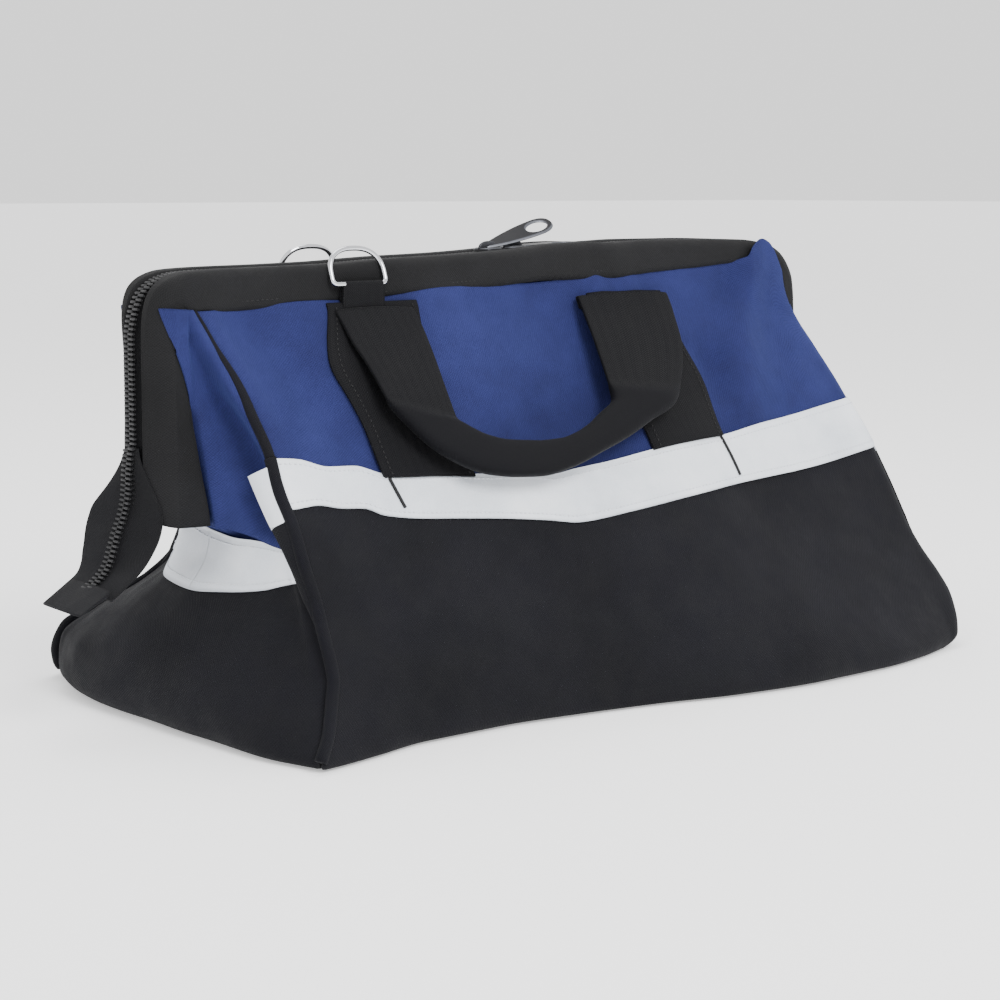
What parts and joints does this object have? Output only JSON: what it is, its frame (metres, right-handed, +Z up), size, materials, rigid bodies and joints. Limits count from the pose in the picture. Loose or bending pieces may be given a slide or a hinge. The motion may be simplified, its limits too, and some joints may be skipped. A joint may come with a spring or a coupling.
{
  "type": "tool bag",
  "caption": "Wide-mouth cloth tool bag with steel-framed mouth halves, a coil zip with free ends, seam band, piped edges, webbing straps with folded carrying loops, and rings.",
  "frame": {"origin": "on the floor under the middle of the base", "axes": "+X along the bag towards its right end, the front wall with the seam band faces -Y, +Z up"},
  "size_m": [0.4758, 0.2645, 0.2247],
  "materials": {
    "black_cloth": "plain-woven synthetic cloth, matt",
    "blue_cloth": "plain-woven synthetic cloth, matt with a faint sheen",
    "white_tape": "smooth reflective band, slightly satin",
    "webbing": "herringbone webbing, matt",
    "zip_coil": "moulded coil, slightly glossy",
    "dark_metal": "painted die casting, satin",
    "chrome": "plated wire, polished",
    "frame_steel": "drawn steel rod",
    "board": "stiff sheet, matt"
  },
  "bodies": {
    "tub": {"bottom_board": "board", "bottom_panel": "black_cloth", "front_lower_panel": "black_cloth", "rear_lower_panel": "black_cloth", "left_lower_gusset": "black_cloth", "right_lower_gusset": "black_cloth", "front_tape": "white_tape", "rear_tape": "white_tape", "left_tape": "white_tape", "right_tape": "white_tape", "front_left_lower_piping": "black_cloth", "front_right_lower_piping": "black_cloth", "rear_left_lower_piping": "black_cloth", "rear_right_lower_piping": "black_cloth"},
    "front_mouth": {"front_upper_panel": "blue_cloth", "front_left_upper_gusset": "blue_cloth", "front_right_upper_gusset": "blue_cloth", "front_left_upper_piping": "black_cloth", "front_right_upper_piping": "black_cloth", "front_sleeve": "black_cloth", "front_frame_rod": "frame_steel", "front_zip_tape": "black_cloth", "front_zip_coil": "zip_coil", "front_left_strap": "webbing", "front_right_strap": "webbing", "front_ring_tab": "webbing"},
    "rear_mouth": {"rear_upper_panel": "blue_cloth", "rear_left_upper_gusset": "blue_cloth", "rear_right_upper_gusset": "blue_cloth", "rear_left_upper_piping": "black_cloth", "rear_right_upper_piping": "black_cloth", "rear_sleeve": "black_cloth", "rear_frame_rod": "frame_steel", "rear_zip_tape": "black_cloth", "rear_zip_coil": "zip_coil", "rear_left_strap": "webbing", "rear_right_strap": "webbing", "rear_ring_tab": "webbing"},
    "left_zip_end": {"left_zip_end": "black_cloth"},
    "right_zip_end": {"right_zip_end": "black_cloth"},
    "left_tail": {"left_zip_tail": "black_cloth", "left_tail_tab": "black_cloth"},
    "right_tail": {"right_zip_tail": "black_cloth", "right_tail_tab": "black_cloth"},
    "left_slider": {"left_slider": "dark_metal"},
    "right_slider": {"right_slider": "dark_metal"},
    "left_pull": {"left_pull": "dark_metal"},
    "right_pull": {"right_pull": "dark_metal"},
    "front_loop": {"front_carry_loop": "webbing"},
    "rear_loop": {"rear_carry_loop": "webbing"},
    "front_ring": {"front_ring": "chrome"},
    "rear_ring": {"rear_ring": "chrome"}
  },
  "joints": [
    {"name": "front_mouth_hinge", "type": "hinge", "parent": "tub", "child": "front_mouth", "pos_m": [0, -0.06497, 0.105], "axis": [1, 0, 0], "range_deg": [0, 35]},
    {"name": "rear_mouth_hinge", "type": "hinge", "parent": "tub", "child": "rear_mouth", "pos_m": [0, 0.06497, 0.105], "axis": [1, 0, 0], "range_deg": [-35, 0]},
    {"name": "left_zip_end_rise", "type": "slide", "parent": "tub", "child": "left_zip_end", "axis": [0, 0, 1], "range_m": [0, 0.03]},
    {"name": "right_zip_end_rise", "type": "slide", "parent": "tub", "child": "right_zip_end", "axis": [0, 0, 1], "range_m": [0, 0.03]},
    {"name": "left_tail_swing", "type": "hinge", "parent": "left_zip_end", "child": "left_tail", "pos_m": [-0.2215, 0, 0.098], "axis": [0, 1, 0], "range_deg": [0, 70]},
    {"name": "right_tail_swing", "type": "hinge", "parent": "right_zip_end", "child": "right_tail", "pos_m": [0.1935, 0, 0.098], "axis": [0, -1, 0], "range_deg": [0, 70]},
    {"name": "left_slider_run", "type": "slide", "parent": "front_mouth", "child": "left_slider", "axis": [-0.9996, 0, -0.028], "range_m": [0, 0.165]},
    {"name": "right_slider_run", "type": "slide", "parent": "front_mouth", "child": "right_slider", "axis": [0.9996, 0, 0.028], "range_m": [0, 0.158]},
    {"name": "left_pull_flip", "type": "hinge", "parent": "left_slider", "child": "left_pull", "pos_m": [-0.0191, 0, 0.21281], "axis": [0, -1, 0], "range_deg": [0, 150]},
    {"name": "right_pull_flip", "type": "hinge", "parent": "right_slider", "child": "right_pull", "pos_m": [-0.0035, 0, 0.21325], "axis": [0, -1, 0], "range_deg": [0, 17]},
    {"name": "front_loop_swing", "type": "hinge", "parent": "front_mouth", "child": "front_loop", "pos_m": [-0.0255, -0.02751, 0.183], "axis": [-1, 0, 0], "range_deg": [0, 110]},
    {"name": "rear_loop_swing", "type": "hinge", "parent": "rear_mouth", "child": "rear_loop", "pos_m": [-0.0255, 0.02751, 0.183], "axis": [1, 0, 0], "range_deg": [0, 110]},
    {"name": "front_ring_swing", "type": "hinge", "parent": "front_mouth", "child": "front_ring", "pos_m": [-0.112, -0.0239, 0.197], "axis": [1, 0, 0], "range_deg": [0, 64]},
    {"name": "rear_ring_swing", "type": "hinge", "parent": "rear_mouth", "child": "rear_ring", "pos_m": [-0.112, 0.0239, 0.197], "axis": [-1, 0, 0], "range_deg": [0, 64]}
  ],
  "couplings": [
    {"joint": "rear_mouth_hinge", "follows": "front_mouth_hinge", "ratio": -1},
    {"joint": "left_zip_end_rise", "follows": "front_mouth_hinge", "m_per_rad": 0.0485},
    {"joint": "right_zip_end_rise", "follows": "front_mouth_hinge", "m_per_rad": 0.0485}
  ]
}
